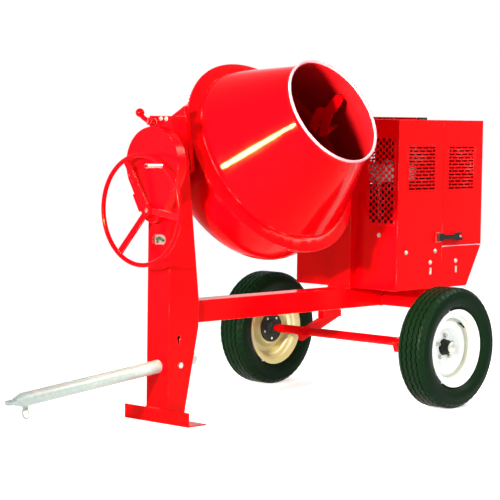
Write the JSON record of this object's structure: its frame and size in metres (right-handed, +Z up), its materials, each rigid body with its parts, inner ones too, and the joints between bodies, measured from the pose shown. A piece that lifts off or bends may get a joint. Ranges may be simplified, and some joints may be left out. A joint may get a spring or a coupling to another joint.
{
  "type": "towable concrete mixer",
  "caption": "Two-wheeled towable drum mixer: tilting gear-driven drum on a yoke, handwheel dump gear, engine cabinet with lift-up rear hood.",
  "frame": {"origin": "centre of the outline on the ground", "axes": "+X to the engine end, -X to the tow tongue, drum mouth to -Y, +Z up"},
  "size_m": [2.8788, 1.341, 1.6578],
  "materials": {
    "paint": "gloss red paint",
    "mouth_band": "worn bright rolled edge",
    "cream": "cream wheel paint",
    "tyre_rubber": "matt ribbed rubber",
    "bare_steel": "galvanised steel",
    "dark_steel": "black painted steel",
    "latch_rubber": "black rubber",
    "gear_steel": "greased cast iron",
    "engine_alloy": "cast alloy",
    "engine_white": "white enamel",
    "belt_rubber": "V-belt rubber",
    "plastic_black": "black plastic"
  },
  "bodies": {
    "chassis": {"air_cleaner": "plastic_black", "arm_hangers": "paint", "axle": "paint", "axle_arms": "paint", "beam": "paint", "cabinet_base": "paint", "cabinet_front": "paint", "cross_member": "paint", "drive_belts": "belt_rubber", "engine_case": "engine_alloy", "engine_cylinder": "engine_alloy", "engine_stand": "dark_steel", "foot": "paint", "frame_bolts": "bare_steel", "front_bearings": "gear_steel", "front_grilles": "paint", "fuel_tank": "engine_white", "gear_guard": "paint", "hinge_fixed": "paint", "latch_brackets": "paint", "louvres_front": "paint", "muffler": "gear_steel", "pedestal": "paint", "rear_bearing": "gear_steel", "rear_upright": "paint", "tow_tube": "bare_steel"},
    "yoke": {"yoke": "paint", "bull_gear": "gear_steel"},
    "drum": {"drum_bowl": "paint", "drum_cone": "paint", "mouth_lip": "mouth_band", "ring_gear": "paint", "drum_spindle": "bare_steel", "mixing_blades": "paint"},
    "drive_shaft": {"drive_shaft": "bare_steel", "bevel_pinion": "gear_steel", "large_pulley": "gear_steel"},
    "output_shaft": {"small_pulley": "gear_steel"},
    "handwheel": {"handwheel": "paint", "dump_pinion": "gear_steel"},
    "spinner": {"spinner_grip": "bare_steel"},
    "lock": {"lock_handle": "paint"},
    "hood": {"hood_rear": "paint", "latch_studs": "bare_steel", "louvres_rear": "paint", "exhaust_outlet": "dark_steel", "hinge_moving": "paint"},
    "latch_near": {"latch_near": "latch_rubber"},
    "latch_far": {"latch_far": "latch_rubber"},
    "wheel_near": {"tyre_near": "tyre_rubber", "rim_near": "cream", "lug_nuts_near": "bare_steel", "hub_near": "dark_steel"},
    "wheel_far": {"tyre_far": "tyre_rubber", "rim_far": "cream", "lug_nuts_far": "bare_steel", "hub_far": "dark_steel"},
    "safety_ring": {"safety_ring": "bare_steel"},
    "throttle": {"throttle_lever": "dark_steel"}
  },
  "joints": [
    {"name": "tilt", "type": "hinge", "parent": "chassis", "child": "yoke", "pos_m": [0.137, 0, 1.174], "axis": [1, 0, 0], "range_deg": [-55, 90]},
    {"name": "drum_spin", "type": "hinge", "parent": "yoke", "child": "drum", "pos_m": [0.137, 0, 1.174], "axis": [0, -0.866, 0.5], "continuous": true},
    {"name": "drive_spin", "type": "hinge", "parent": "yoke", "child": "drive_shaft", "pos_m": [0.7, 0, 1.174], "axis": [1, 0, 0], "continuous": true},
    {"name": "output_spin", "type": "hinge", "parent": "chassis", "child": "output_shaft", "pos_m": [0.8, 0, 0.844], "axis": [1, 0, 0], "continuous": true},
    {"name": "handwheel_turn", "type": "hinge", "parent": "chassis", "child": "handwheel", "pos_m": [-0.64, 0, 0.968], "axis": [1, 0, 0], "range_deg": [-300, 190]},
    {"name": "grip_spin", "type": "hinge", "parent": "handwheel", "child": "spinner", "pos_m": [-0.724, -0.13934, 1.17074], "axis": [1, 0, 0], "continuous": true},
    {"name": "lock_slide", "type": "slide", "parent": "chassis", "child": "lock", "axis": [1, 0, 0], "range_m": [0, 0.02]},
    {"name": "hood_hinge", "type": "hinge", "parent": "chassis", "child": "hood", "pos_m": [1.113, 0, 1.394], "axis": [0, -1, 0], "range_deg": [0, 80]},
    {"name": "latch_near_swing", "type": "hinge", "parent": "chassis", "child": "latch_near", "pos_m": [1.075, -0.3425, 0.803], "axis": [0, 0, -1], "range_deg": [0, 100]},
    {"name": "latch_far_swing", "type": "hinge", "parent": "chassis", "child": "latch_far", "pos_m": [1.075, 0.3425, 0.803], "axis": [0, 0, 1], "range_deg": [0, 100]},
    {"name": "wheel_near_spin", "type": "hinge", "parent": "chassis", "child": "wheel_near", "pos_m": [0.823, -0.588, 0.2925], "axis": [0, 1, 0], "continuous": true},
    {"name": "wheel_far_spin", "type": "hinge", "parent": "chassis", "child": "wheel_far", "pos_m": [0.823, 0.588, 0.2925], "axis": [0, 1, 0], "continuous": true},
    {"name": "ring_swing", "type": "hinge", "parent": "chassis", "child": "safety_ring", "pos_m": [-1.33221, 0, 0.14067], "axis": [0, 1, 0], "range_deg": [-30, 30]},
    {"name": "throttle_swing", "type": "hinge", "parent": "chassis", "child": "throttle", "pos_m": [1, -0.12, 0.87], "axis": [0, 1, 0], "range_deg": [-30, 30]}
  ],
  "couplings": [
    {"joint": "drive_spin", "follows": "drum_spin", "ratio": -10.667},
    {"joint": "output_spin", "follows": "drum_spin", "ratio": -21.333},
    {"joint": "handwheel_turn", "follows": "tilt", "ratio": -3.2917}
  ]
}
